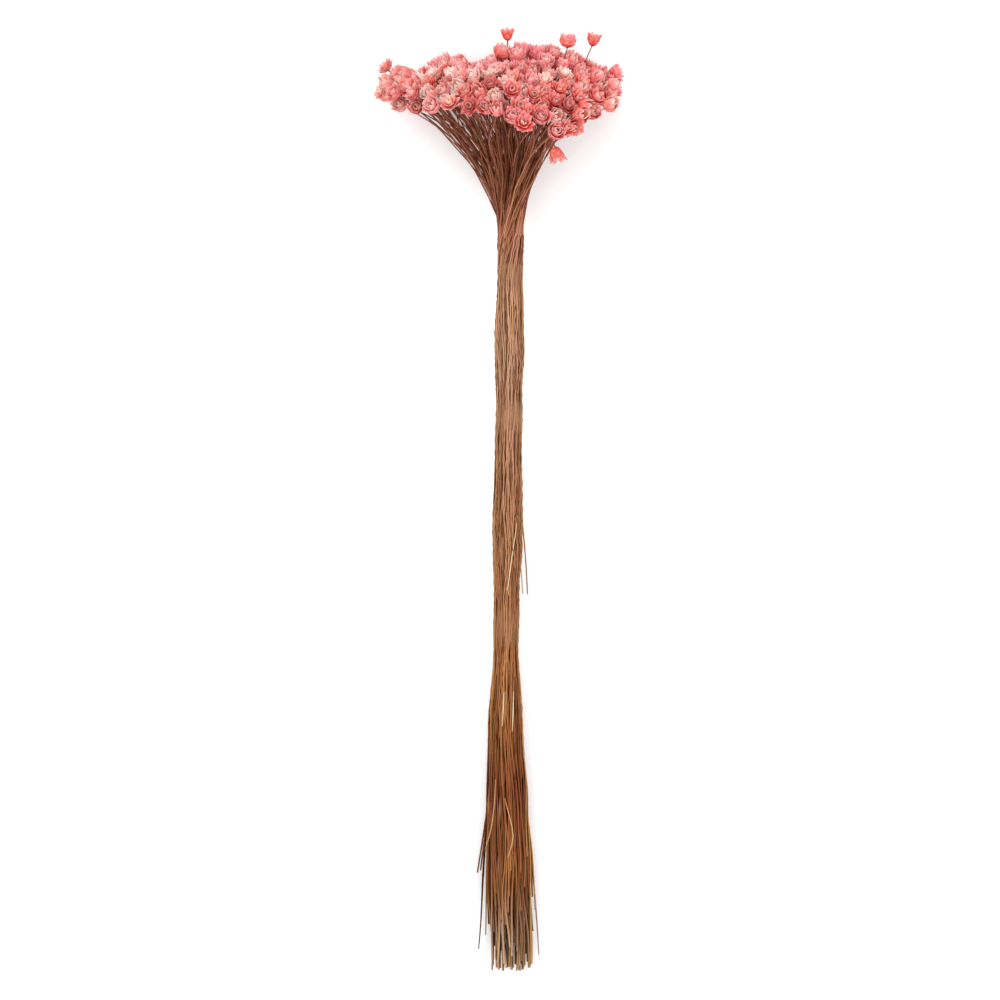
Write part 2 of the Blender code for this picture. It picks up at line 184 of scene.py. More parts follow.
def dome_height(sideways, upwards):
    """How far the dome stands over the waist here: flat on top, falling off to the front."""
    height = DOME_TOP - SIDE_DROP * (sideways / side_reach(sideways)) ** 2
    faded = clamped(1.0 - upwards / WAVES_FADE)
    for middle, half_width, rise in DOME_WAVES:
        away = min(1.0, abs(sideways - middle) / half_width)
        height += faded * rise * 0.5 * (1.0 + math.cos(math.pi * away))
    if upwards > 0:
        return height - (FRONT_DROP + FRONT_SLANT * sideways) * (upwards / REACH_UP) ** 1.5
    return height - BACK_DROP * (upwards / (WAIST_HEIGHT - LOWEST_BLOOM)) ** 2


def rim_value(sideways, upwards):
    """1 on the dome's rounded rim, less inside it."""
    side = abs(sideways) / side_reach(sideways)
    front = max(upwards, 0.0) / REACH_UP
    return (side ** RIM_ROUNDNESS + front ** RIM_ROUNDNESS) ** (1.0 / RIM_ROUNDNESS)


def dome_edge(sideways, upwards):
    """How far the dome reaches across in this direction, given as a unit vector."""
    edge = 1.0 / max(rim_value(sideways, upwards), 0.001)
    if upwards < 0:
        edge = min(edge, (WAIST_HEIGHT - LOWEST_BLOOM) / -upwards)
    return edge


def dome_places():
    """An even spiral of places over the dome, kept above the surface it lies on."""
    draw = random.Random(SEED_OF_PLACES)
    places = []
    lowest = LOWEST_BLOOM - WAIST_HEIGHT
    for count in range(PATTERN_POINTS):
        reach = PATTERN_RADIUS * math.sqrt((count + 0.5) / PATTERN_POINTS)
        turn = count * GOLDEN_ANGLE
        sideways = math.cos(turn) * reach + draw.uniform(-PATTERN_UNEVEN, PATTERN_UNEVEN)
        upwards = math.sin(turn) * reach + draw.uniform(-PATTERN_UNEVEN, PATTERN_UNEVEN)
        uneven = draw.uniform(-DOME_UNEVEN, DOME_UNEVEN)
        if upwards < lowest - SETTLING or rim_value(sideways, upwards) > 1.0:
            continue
        if upwards < lowest + SETTLING:
            upwards = lowest
        places.append(Vector((sideways, dome_height(sideways, upwards) + uneven, upwards)))
    return places


def fan_bend(offset):
    """How late a stem turns outwards: later on the right and to the low rim in front."""
    return FAN_BEND + BEND_TO_RIGHT * offset.x + BEND_AT_RIM * max(0.0, RIM_STARTS - offset.y)


def bloom_heading(offset):
    """The direction in which a bloom's stem arrives at it."""
    across = Vector((offset.x, 0.0, offset.z))
    edge = dome_edge(*(across.normalized().xz))
    root = FAN_ROOT_RADIUS * min(1.0, across.length / edge)
    last = 0.96
    outwards = root + (across.length - root) * last ** fan_bend(offset)
    before = across.normalized() * outwards + Vector((0.0, offset.y * last, 0.0))
    return (offset - before).normalized()


# The shares of the dome's blooms that are wide open, and that are still closed
STAR_SHARE = 0.40
BUD_SHARE = 0.26
UNEVEN_FACING = 0.22
BLOOM_SIZES = (0.94, 1.22)
# Blooms that stand clear of the dome: (place of the base, facing, form, size)
LOOSE_BLOOMS = [
    ((4.0, 242.0, 46.0), (0.0, 1.0, 0.10), "goblet", 0.92),
    ((35.5, 238.5, 42.0), (0.10, 1.0, 0.05), "cup", 1.14),
    ((48.5, 239.5, 40.0), (0.25, 1.0, 0.10), "goblet", 0.98),
    ((-58.5, 226.5, 42.0), (-0.75, 0.8, 0.15), "star", 1.10),
    ((-60.0, 214.0, 52.0), (-0.80, 0.25, 0.45), "star", 1.00),
    ((-50.5, 206.5, 68.0), (-0.50, 0.10, 0.85), "cup", 1.05),
    ((-42.0, 205.5, 74.0), (-0.35, 0.00, 0.95), "cup", 1.10),
    ((58.0, 224.0, 44.0), (0.95, 0.45, 0.10), "cup", 1.00),
    ((41.0, 205.5, 84.0), (0.90, -0.05, 0.40), "bud", 1.15),
    ((28.5, 184.0, 88.6), (0.20, -1.0, 0.15), "goblet", 1.10),
    ((36.0, 196.0, 93.0), (0.55, -0.55, 0.75), "star", 1.25),
]
LOOSE_BEND = 3.0
DOME_HOOK = 0.9
RISING_HOOK = 1.3
HANGING_HOOK = 2.6
WAIST = bundle_middle(WAIST_Y)
draw = random.Random(SEED_OF_FORMS)
blooms = []
for offset in dome_places():
    base = WAIST + offset
    facing = bloom_heading(offset) + Vector([draw.uniform(-UNEVEN_FACING, UNEVEN_FACING)
                                            for _ in range(3)])
    if base.z < LOWEST_BLOOM + 1.0:
        facing.z = max(facing.z, 0.0)
    pick = draw.random()
    form = "bud" if pick < BUD_SHARE else "star" if pick < BUD_SHARE + STAR_SHARE else "cup"
    size = draw.uniform(*BLOOM_SIZES)
    turn = draw.uniform(0.0, math.pi)
    blooms.append(SimpleNamespace(base=base, facing=facing.normalized(), form=form, size=size,
                                  turn=turn, hook=DOME_HOOK, bend=fan_bend(offset)))
for place, facing, form, size in LOOSE_BLOOMS:
    hook = RISING_HOOK if facing[1] > 0.0 else HANGING_HOOK
    blooms.append(SimpleNamespace(base=Vector(place), facing=Vector(facing).normalized(), form=form,
                                  size=size, turn=draw.uniform(0.0, 3.0), hook=hook, bend=LOOSE_BEND))

# Every stem gets a place in the round bundle: in rings, each near its own bloom's direction.
STEM_RINGS = 9
STEM_COUNT = 1 + 3 * STEM_RINGS * (STEM_RINGS + 1)
SEED_OF_STEMS = 21
TWIST = 1.6
FOOT_TIP = -250.6
LONG_SHARE = 0.27
LEFT_END = -222.0
STRAYS = [(-12.0, -198.0), (-10.4, -197.0), (-11.4, -239.0), (-10.4, -227.0), (-7.7, -231.0),
          (20.7, -242.0), (18.8, -218.0), (17.2, -211.0)]
# Stems whose bloom is gone, where the dome is open: (sideways, upwards) from the waist
BARE_TOPS = [(26.5, 22.0), (28.5, 25.0), (30.5, 27.0), (32.0, 23.5), (22.5, 14.0), (24.5, 17.0)]
BARE_TOP_DEPTH = 2.0
BARE_DEPTH = 3.0
BARE_TURNS = (-0.3, 2.3)
BARE_REACHES = (12.0, 54.0)
LEFT_EVERY = 5
LEFT_TURNS = (2.3, math.pi + 0.3)
LEFT_REACHES = (30.0, 50.0)
BARE_LENGTHS = (0.86, 1.0)
LONG_ENDS = 12.0
SHORT_ENDS = 54.0
SHORT_ENDS_POWER = 0.9
LEFT_SIDE = -0.88
LEFT_END_SPREAD = 9.0
draw = random.Random(SEED_OF_STEMS)
stems = [SimpleNamespace(bloom=bloom, offset=bloom.base - WAIST, top=1.0) for bloom in blooms]
for sideways, upwards in BARE_TOPS:
    offset = Vector((sideways, dome_height(sideways, upwards) - BARE_TOP_DEPTH, upwards))
    stems.append(SimpleNamespace(bloom=None, offset=offset, top=1.0))
while len(stems) < STEM_COUNT:
    turn = draw.uniform(*BARE_TURNS)
    reach = draw.uniform(*BARE_REACHES)
    if len(stems) % LEFT_EVERY == 0:
        turn = draw.uniform(*LEFT_TURNS)
        reach = draw.uniform(*LEFT_REACHES)
    sideways = reach * math.cos(turn)
    upwards = reach * math.sin(turn)
    offset = Vector((sideways, dome_height(sideways, upwards) - BARE_DEPTH, upwards))
    stems.append(SimpleNamespace(bloom=None, offset=offset, top=draw.uniform(*BARE_LENGTHS)))
for stem in stems:
    across = Vector((stem.offset.x, 0.0, stem.offset.z))
    stem.reach = across.length
    stem.towards = math.atan2(across.z, across.x)
    stem.share = across.length / dome_edge(*(across.normalized().xz))
    stem.phase = [draw.uniform(0.0, 2.0 * math.pi) for _ in range(4)]
    stem.bend = stem.bloom.bend if stem.bloom else fan_bend(stem.offset)
    low_left = clamped((-40.0 - stem.offset.x) / 12.0) * clamped((78.0 - stem.offset.y) / 8.0)
    stem.bend += 0.5 * low_left
    stem.bow = Vector((draw.uniform(-2.4, 2.4), 0.0, draw.uniform(-2.6, 2.6)))
    stem.lag = draw.uniform(-0.35, 0.35)
    stem.drift = Vector((draw.uniform(-1.3, 1.3), 0.0, draw.uniform(-0.9, 0.9)))
    stem.tone = draw.random()
    stem.straw = draw.random()
    cut = draw.random()
    later = clamped((cut - LONG_SHARE) / (1.0 - LONG_SHARE))
    stem.end = FOOT_TIP + LONG_ENDS * min(cut / LONG_SHARE, 1.0)
    stem.end += SHORT_ENDS * later ** SHORT_ENDS_POWER
    stem.stray = None

stems.sort(key=lambda stem: stem.share)
placed = 0
for ring in range(STEM_RINGS + 1):
    members = stems[placed:placed + max(1, 6 * ring)]
    placed += len(members)
    members.sort(key=lambda stem: stem.towards)
    gaps = [stem.towards - 2.0 * math.pi * count / len(members)
            for count, stem in enumerate(members)]
    start = math.atan2(sum(map(math.sin, gaps)), sum(map(math.cos, gaps)))
    for count, stem in enumerate(members):
        stem.ring = ring
        stem.angle = start + 2.0 * math.pi * count / len(members)
        if math.cos(stem.angle + TWIST) * ring / STEM_RINGS < LEFT_SIDE:
            stem.end = max(stem.end, LEFT_END + LEFT_END_SPREAD * stem.straw)

outer = [stem for stem in stems if stem.ring == STEM_RINGS]
for x, y in STRAYS:
    side = 0.0 if x > bundle_value(y, 1) else math.pi
    free = [stem for stem in outer if stem.stray is None]
    wanted = side - TWIST
    chosen = min(free, key=lambda stem: abs(math.remainder(stem.angle - wanted, math.tau)))
    chosen.stray = x
    chosen.end = y

STEM_RADIUS = 0.345
FOOT_THICKENING = 0.72
TIP_THINNING = 0.10
KINK = 0.20
CALM_BELOW_Y = -140.0
CALM_FADE = 70.0
CALMEST = 0.25
RING_WANDER = 0.35
RING_WAVE = 33.0
SLOW_SWAY = 0.15
SLOW_WAVE = 21.0
REACH_SWAY = 0.20
REACH_WAVE = 5.2
STRAY_POWER = 1.2
THICK_BELOW_Y = -60.0
THICK_OVER = 190.0
THIN_OVER = 70.0
STRAY_THINNING = 0.5
FAN_RIPPLE = 0.35
PATH_SPACING = (3.3, 4.3, 7.0, 10.0, 14.0)
TWIST_START = 112.0
TWIST_END = 176.0
FAN_STEPS = 12
HOOK_STARTS = 0.70
HOOK_STEPS = 6


def twist_at(y):
    return TWIST * (1.0 - eased((y - TWIST_START) / (TWIST_END - TWIST_START)))


def bundle_place(stem, y):
    """Where a stem lies in the tied bundle, with its own slow waves and small kinks."""
    one, two, three, four = stem.phase
    splay = foot_share(y)
    half_width = bundle_value(y, 2) - STEM_RADIUS
    share = min(1.0, (stem.ring + RING_WANDER * math.sin(y / RING_WAVE + two)) / STEM_RINGS)
    wavy = CALMEST + (1.0 - CALMEST) * clamped((y - CALM_BELOW_Y) / CALM_FADE)
    angle = stem.angle + twist_at(y) + SLOW_SWAY * math.sin(y / SLOW_WAVE + one)
    angle += wavy * (0.035 * math.sin(y / 4.1 + two) + 0.06 * math.sin(y / 8.3 + three))
    reach = share * half_width + 0.02 - REACH_SWAY * wavy * math.sin(y / REACH_WAVE + four)
    reach = max(reach, 0.0)
    pressed = PRESSED + (PRESSED_AT_FOOT - PRESSED) * splay
    place = bundle_middle(y) + Vector((math.cos(angle), 0.0, math.sin(angle) * pressed)) * reach
    crimp = KINK * wavy
    place += Vector((math.sin(y * 2.9 + one), 0.0, math.sin(y * 3.7 + two))) * crimp
    place += stem.drift * splay
    if stem.stray is not None:
        place.x += (stem.stray - place.x) * clamped((FOOT_OPENS_AT - y)
                                                    / (FOOT_OPENS_AT - stem.end)) ** STRAY_POWER
    return place


def fan_place(stem, share):
    """Where a stem is between the waist (share 0) and its bloom's base (share 1)."""
    root = stem.ring / STEM_RINGS * (bundle_value(WAIST_Y, 2) - STEM_RADIUS)
    outwards = root + (stem.reach - root) * share ** stem.bend
    y = WAIST_Y + stem.offset.y * share
    swing = math.remainder(stem.towards - stem.angle, math.tau)
    angle = stem.angle + twist_at(y) * (1.0 - eased(share)) + swing * eased(share * 1.15)
    angle += stem.lag * math.sin(math.pi * share)
    place = WAIST + Vector((math.cos(angle), 0.0, math.sin(angle))) * max(outwards, 0.0)
    place.y = y
    slope = (WAIST_HEIGHT - FOOT_HEIGHT) / (WAIST_Y - FOOT_Y)
    place.z += slope * stem.offset.y * share * (1.0 - share) ** 2
    ripple = math.sin(math.pi * share) * FAN_RIPPLE
    place += stem.bow * math.sin(math.pi * share) ** 2
    place.x += ripple * math.sin(share * 17.0 + stem.phase[1])
    place.z += ripple * math.sin(share * 14.0 + stem.phase[2])
    return place


# Bare stems bow to where the fan would else show gaps, seen from above. The listed ones,
# which reach the very top, stay as they are.
GAP_LEVELS = (170.0, 179.0, 187.0, 195.0)
ROOM_WANTED = 0.7
BOW_STEP = 0.45
BOW_STEPS = 9
BOW_FROM_X = -28.0


def crossing(stem, level):
    return fan_place(stem, min(1.0, (level - WAIST_Y) / stem.offset.y)).x


crossings = {level: [crossing(stem, level) for stem in stems if stem.bloom] for level in GAP_LEVELS}
for stem in stems:
    if stem.bloom or stem.offset.x < BOW_FROM_X or stem.top == 1.0:
        continue
    tries = []
    for step in range(-BOW_STEPS, BOW_STEPS + 1):
        stem.bow.x = step * BOW_STEP
        room = 0.0
        for level, taken in crossings.items():
            place = crossing(stem, level)
            room += min(ROOM_WANTED, min(abs(place - other) for other in taken))
        tries.append((room, stem.bow.x))
    stem.bow.x = max(tries)[1]
    for level, taken in crossings.items():
        taken.append(crossing(stem, level))


def stem_path(stem):
    """The middle line of one stem, from its cut end to its bloom."""
    depth = STEM_RINGS - stem.ring
    spacing = PATH_SPACING[min(depth, len(PATH_SPACING) - 1)]
    steps = round((WAIST_Y - stem.end) / spacing)
    path = [bundle_place(stem, stem.end + (WAIST_Y - stem.end) * step / steps)
            for step in range(steps)]
    if stem.bloom is None:
        path += [fan_place(stem, stem.top * step / FAN_STEPS) for step in range(FAN_STEPS + 1)]
        return path
    path += [fan_place(stem, HOOK_STARTS * step / FAN_STEPS) for step in range(FAN_STEPS)]
    start = fan_place(stem, HOOK_STARTS)
    heading = (start - path[-1]).normalized()
    base = stem.bloom.base + stem.bloom.facing * 0.3
    third = (base - start).length / 3.0
    path += geometry.interpolate_bezier(start, start + heading * third,
                                        base - stem.bloom.facing * third * stem.bloom.hook,
                                        base, HOOK_STEPS)
    return path


def stem_radius(y, stray_share):
    """The stem's radius, as a share of a middling one: thick at the foot, thin where it strays."""
    foot = clamped((THICK_BELOW_Y - y) / THICK_OVER)
    tip = clamped((y - WAIST_Y) / THIN_OVER)
    thickness = 1.0 + FOOT_THICKENING * foot - TIP_THINNING * tip
    return thickness * (1.0 - STRAY_THINNING * stray_share)


LOOSE_STEM = [Vector(place) for place in
              ((10.5, -2.0, 24.0), (12.6, -16.0, 22.6), (14.0, -34.0, 21.6), (14.6, -50.0, 21.0))]
loose_path = geometry.interpolate_bezier(*LOOSE_STEM, 10)
# Broken ends that lie on the bundle: (how pale, then where each shows in the plan)
BROKEN_ENDS = [
    (0.90, (9.2, -8.0), (8.3, -17.0), (6.4, -29.0), (5.0, -40.0), (4.0, -47.0), (4.9, -50.5)),
    (0.12, (10.6, -31.0), (11.5, -41.0), (12.1, -49.7)),
    (0.75, (2.3, -97.0), (2.0, -106.0), (1.6, -113.0), (1.2, -119.8)),
    (0.85, (7.2, -99.0), (7.0, -108.0), (6.8, -115.0), (6.5, -122.5)),
    (0.30, (2.5, -158.0), (5.0, -167.5), (6.4, -173.5), (6.9, -178.0), (6.2, -183.0), (4.3, -189.0)),
    (0.22, (-2.3, -148.0), (-2.9, -161.0), (-4.2, -172.0), (-5.8, -179.0), (-8.0, -186.5)),
]
BROKEN_STEPS = 3
BROKEN_THICKNESS = 0.66
SUNK = 0.7
ABOVE_BUNDLE = 0.1
PALE_MIDDLE = 0.7


def on_the_bundle(x, y, sunk):
    """The place on the bundle's upper side, or sunk into it, that shows here from above."""
    middle = bundle_middle(y)
    reach = bundle_value(y, 2) + ABOVE_BUNDLE - sunk
    pressed = PRESSED + (PRESSED_AT_FOOT - PRESSED) * foot_share(y)
    across = min(1.0, abs(x - middle.x) / reach)
    return Vector((x, y, middle.z + reach * pressed * math.sqrt(1.0 - across * across)))


def broken_path(corners):
    """A broken end that comes out from between the other stems."""
    path = []
    for before, after in zip(corners, corners[1:]):
        for step in range(BROKEN_STEPS):
            share = step / BROKEN_STEPS
            sunk = SUNK * (1.0 - eased(share)) if before is corners[0] else 0.0
            path.append(on_the_bundle(before[0] + share * (after[0] - before[0]),
                                      before[1] + share * (after[1] - before[1]), sunk))
    return path + [on_the_bundle(*corners[-1], 0.0)]


outside = []
inside = []
for stem in stems:
    side = outside if stem.ring > STEM_RINGS - 2 else inside
    side.append(SimpleNamespace(path=stem_path(stem), tone=stem.tone, straw=stem.straw,
                                strays=stem.stray is not None, pale=0.0))
outside.append(SimpleNamespace(path=loose_path, tone=0.9, straw=0.97, strays=False, pale=0.0))
for pale, *corners in BROKEN_ENDS:
    outside.append(SimpleNamespace(path=broken_path(corners), tone=0.8, straw=0.95,
                                   strays=False, pale=pale))


def stem_piece(name, lines):
    """Round stems along the lines, each closed at its cuts, in one mesh laid in the frame."""
    curve = bpy.data.curves.new(name, "CURVE")
    curve.dimensions = "3D"
    curve.bevel_depth = STEM_RADIUS
    curve.bevel_resolution = 1
    sides = 4 + 2 * curve.bevel_resolution
    tones = []
    straws = []
    pales = []
    middles = []
    for line in lines:
        path = line.path
        spline = curve.splines.new("POLY")
        spline.points.add(len(path) - 1)
        for point, place in zip(spline.points, path):
            point.co = (*place, 1.0)
            point.radius = stem_radius(place.y, line.strays * foot_share(place.y))
            if line.pale > 0.0:
                point.radius *= BROKEN_THICKNESS
        tones += [line.tone] * (sides * len(path))
        straws += [line.straw] * (sides * len(path))
        for number, place in enumerate(path):
            middles += [place] * sides
            pales += [line.pale * math.sin(math.pi * (number + 0.5) / len(path)) ** PALE_MIDDLE] * sides
    line_object = bpy.data.objects.new(name, curve)
    mesh = bpy.data.meshes.new_from_object(line_object)
    bpy.data.objects.remove(line_object)
    mesh.attributes.new("tone", "FLOAT", "POINT").data.foreach_set("value", tones)
    mesh.attributes.new("straw", "FLOAT", "POINT").data.foreach_set("value", straws)
    # Painted shade: how far each point faces out of the bundle, 1 on the outer side and 0 towards the
    # middle; in the fan it is held near 0.8.
    outwards = []
    for vert, middle in zip(mesh.vertices, middles):
        painted_shade_outward = (middle - bundle_middle(middle.y)).normalized()
        painted_shade_facing = 0.5 + 0.5 * (vert.co - middle).normalized().dot(painted_shade_outward)
        opened = clamped((middle.y - WAIST_Y - 15.0) / 30.0)
        outwards.append(painted_shade_facing + (0.8 - painted_shade_facing) * opened)
    mesh.attributes.new("painted_shade_outward", "FLOAT", "POINT").data.foreach_set("value", outwards)
    mesh.attributes.new("pith", "FLOAT", "POINT").data.foreach_set("value", pales)

    builder = bmesh.new()
    builder.from_mesh(mesh)
    pith = builder.verts.layers.float["pith"]
    rims = [edge for edge in builder.edges if edge.is_boundary]
    cuts = bmesh.ops.holes_fill(builder, edges=rims, sides=0)["faces"]
    for vert in bmesh.ops.poke(builder, faces=cuts)["verts"]:
        vert[pith] = 1.0
    bmesh.ops.recalc_face_normals(builder, faces=builder.faces)
    bmesh.ops.transform(builder, matrix=LAID, verts=builder.verts)
    for vert in builder.verts:
        vert.co = kept_in_place(vert.co)
    builder.to_mesh(mesh)
    builder.free()
    mesh.name = name
    mesh.shade_smooth()
    mesh.set_sharp_from_angle(angle=math.radians(70))
    piece = bpy.data.objects.new(name, mesh)
    bpy.context.scene.collection.objects.link(piece)
    return piece


def srgb(red, green, blue):
    """A colour in the shader's own values, from the 0 to 255 of a colour picker."""
    return tuple((value / 255.0 / 12.92) if value < 10.0 else ((value / 255.0 + 0.055) / 1.055) ** 2.4
                 for value in (red, green, blue))


class Wire:
    """A value in a material. Sums on it add Math nodes, and node() adds any other kind."""

    def __init__(self, tree, socket=None):
        self.tree = tree
        self.socket = socket

    def connect(self, node, values):
        """Sets or links a node's sockets, given by name or by number."""
        for key, value in values.items():
            socket = node.inputs[key]
            if isinstance(value, Wire):
                self.tree.links.new(value.socket, socket)
            elif socket.type == "RGBA":
                socket.default_value = (*value, 1.0)
            else:
                socket.default_value = value

    def node(self, kind, values=None, settings=None, stops=(), out=0):
        made = self.tree.nodes.new(kind)
        for name, value in (settings or {}).items():
            setattr(made, name, value)
        if stops:
            elements = made.color_ramp.elements
            elements[0].position = stops[0][0]
            elements[0].color = (*stops[0][1], 1.0)
            elements[1].position = stops[-1][0]
            elements[1].color = (*stops[-1][1], 1.0)
            for place, colour in stops[1:-1]:
                elements.new(place).color = (*colour, 1.0)
        self.connect(made, values or {})
        return Wire(self.tree, made.outputs[out])

    def math(self, operation, first, second, clamp=False):
        return self.node("ShaderNodeMath", {0: first, 1: second},
                         {"operation": operation, "use_clamp": clamp})

    def __add__(self, other):
        return self.math("ADD", self, other)

    def __radd__(self, other):
        return self.math("ADD", other, self)

    def __sub__(self, other):
        return self.math("SUBTRACT", self, other)

    def __rsub__(self, other):
        return self.math("SUBTRACT", other, self)

    def __mul__(self, other):
        return self.math("MULTIPLY", self, other)

    def __rmul__(self, other):
        return self.math("MULTIPLY", other, self)

    def __pow__(self, other):
        return self.math("POWER", self, other)

    def limited(self):
        return self.math("ADD", self, 0.0, clamp=True)

    def blend(self, low, high):
        """The colour that goes from low to high while this value goes from 0 to 1."""
        return self.node("ShaderNodeMix", {0: self, 6: low, 7: high}, {"data_type": "RGBA"}, out=2)

    def ramp(self, stops):
        return self.node("ShaderNodeValToRGB", {0: self}, stops=stops)

    def attribute(self, name):
        return self.node("ShaderNodeAttribute", settings={"attribute_name": name}, out=2)

    def noise(self, vector, scale, detail=2.0, roughness=0.5):
        return self.node("ShaderNodeTexNoise", {"Vector": vector, "Scale": scale, "Detail": detail,
                                                "Roughness": roughness})


def new_material(name):
    material = bpy.data.materials.new(name)
    material.use_nodes = True
    return material, Wire(material.node_tree)


def finish_material(material, values):
    Wire(material.node_tree).connect(material.node_tree.nodes["Principled BSDF"], values)


# The stem's dye, with painted shade on the sides that face into the bundle.
material, start = new_material("dyed_stem_painted_shade")
place = start.node("ShaderNodeTexCoord", out=3)
along = start.node("ShaderNodeSeparateXYZ", {0: place}, out=1)
tone = start.attribute("tone")
straw = start.attribute("straw")
length = cad_box[1].y - cad_box[0].y
middle_line = 0.5 * (cad_box[1].y + cad_box[0].y)
spot = (along - (middle_line - 0.5 * length)) * (1.0 / length)


def spot_of(y):
    """The ramp's place for a place along the bunch in mm."""
    return (y * MM - middle_line) / length + 0.5


dye = spot.ramp([
    (spot_of(-245), srgb(168, 134, 103)),
    (spot_of(-205), srgb(136, 82, 42)),
    (spot_of(-155), srgb(120, 61, 26)),
    (spot_of(-95), srgb(154, 97, 52)),
    (spot_of(-20), srgb(160, 107, 70)),
    (spot_of(78), srgb(167, 121, 88)),
    (spot_of(106), srgb(178, 129, 94)),
    (spot_of(126), srgb(162, 110, 80)),
    (spot_of(150), srgb(167, 104, 73)),
    (spot_of(180), srgb(145, 82, 57)),
])
stretched = start.node("ShaderNodeMapping", {"Vector": place, "Scale": (1.0, 0.06, 1.0)})
streak = start.noise(stretched, 2600.0, 3.0, 0.6)
patch = start.noise(place, 70.0, 2.0, 0.5)
foot = ((spot_of(-70) - spot) * (1.0 / (spot_of(-70) - spot_of(-200)))).limited()
golden = ((straw - 0.70) * 3.6).limited() * (0.35 + 0.65 * foot)
grey = ((0.07 - straw) * 15.0).limited() * (0.15 + 0.85 * foot)
colour = golden.blend(dye, srgb(172, 116, 58))
colour = grey.blend(colour, srgb(160, 142, 122))
shade = 0.28 + 1.06 * tone * (0.6 + 0.8 * streak) + 0.16 * patch
# Painted shade: the sides of each stem that face into the bundle are darkened, where its neighbours would
# shade it.
shade = shade * (0.32 + 0.68 * start.attribute("painted_shade_outward") ** 1.5)
# Green and blue follow the shade more steeply than red, so darker parts, whether painted shade or darker
# tone, come out more saturated.
green_shade = shade * (shade * 1.3) ** 0.2 * (0.92 + 0.16 * straw)
blue_shade = shade * (shade * 1.3) ** 0.6
tone_and_painted_shade = start.node("ShaderNodeCombineColor", {0: shade, 1: green_shade, 2: blue_shade})
colour = start.node("ShaderNodeMix", {0: 1.0, 6: colour, 7: tone_and_painted_shade},
                    {"data_type": "RGBA", "blend_type": "MULTIPLY"}, out=2)
colour = start.attribute("pith").blend(colour, srgb(226, 208, 172))
bump = start.node("ShaderNodeBump", {"Strength": 0.35, "Distance": 0.0001, "Height": streak})
finish_material(material, {"Base Color": colour, "Roughness": 0.50 + 0.22 * streak,
                           "Specular IOR Level": 0.14, "Normal": bump})
for name, lines in (("stems_outside", outside), ("stems_inside", inside)):
    piece = stem_piece(name, lines)
    piece.data.materials.append(material)
    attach(piece, "root")
    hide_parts("stems")

# Blooms
# One papery bloom on the end of most stems, grown with it: a small firm cup wrapped in rows of
# thin pointed bracts, dyed coral. Some are wide open like stars, some stand up like cups,
# and some are still closed. They lie against each other and make the dome.

BRACT_COLUMNS = 2
BRACT_ROWS = 5
BRACT_THICKNESS = 0.11
CUP_RADIUS = 1.5
CUP_HEIGHT = 1.45
CUP_MIDDLE = 1.1
LOWEST_ROOT = 0.25
ROOTS_RISE = 1.75
HUG = 0.80
NOISE_SHIFT = 7.3
NOISE_SCALE = 0.22
NOISE_BEND = 0.55
NOISE_GROWS_TO = 4.0
SEED_OF_BRACTS = 23
BRACT_LAYERS = ("reach", "side", "row", "grain", "fade", "glow", "dull")
# Rows from the outside in: (bracts, length, width, leans from the axis, from base to tip)
BLOOM_ROWS = {
    "star": [
        (6, 3.5, 3.8, (88, 66, 44, 46)),
        (7, 4.7, 3.9, (84, 58, 44, 62)),
        (7, 5.2, 3.7, (72, 46, 34, 60)),
        (7, 4.6, 3.0, (52, 30, 14, 30)),
        (6, 3.7, 2.3, (34, 8, -12, -18)),
    ],
    "cup": [
        (6, 3.8, 4.0, (90, 58, 20, 16)),
        (7, 5.3, 4.1, (86, 44, 4, 20)),
        (7, 6.2, 4.0, (78, 32, 2, 34)),
        (7, 5.6, 3.3, (60, 20, -4, 14)),
        (6, 4.5, 2.4, (38, 6, -12, -20)),
    ],
    "goblet": [
        (6, 3.4, 3.0, (62, 38, 20, 20)),
        (7, 5.4, 3.1, (56, 32, 16, 26)),
        (8, 7.0, 3.1, (50, 26, 14, 52)),
        (8, 6.4, 2.5, (40, 18, 8, 34)),
        (6, 5.0, 2.0, (28, 8, 0, 6)),
    ],
    "bud": [
        (6, 4.1, 4.0, (90, 56, 16, 8)),
        (6, 5.7, 4.1, (86, 42, 0, -4)),
        (6, 6.6, 3.7, (78, 30, -12, -8)),
        (5, 6.4, 2.9, (62, 16, -14, -22)),
    ],
}
POINT_STARTS = {"star": 0.44, "cup": 0.54, "goblet": 0.45, "bud": 0.54}
VARIANTS = {"star": 5, "cup": 6, "goblet": 3, "bud": 3}


def read_between(values, share):
    """Reads a value at a share of the way along a row of values."""
    place = share * (len(values) - 1)
    low = min(int(place), len(values) - 2)
    return values[low] + (values[low + 1] - values[low]) * (place - low)


def bract_outline(share, point_starts):
    """Half width along a bract, as a share of its widest: full in the middle, then pointed."""
    swell = 0.50 + 0.50 * math.sin(0.5 * math.pi * min(1.0, share / 0.5))
    point = 1.0 - max(0.0, (share - point_starts) / (1.0 - point_starts)) ** 2.0
    return max(0.04, swell * point)


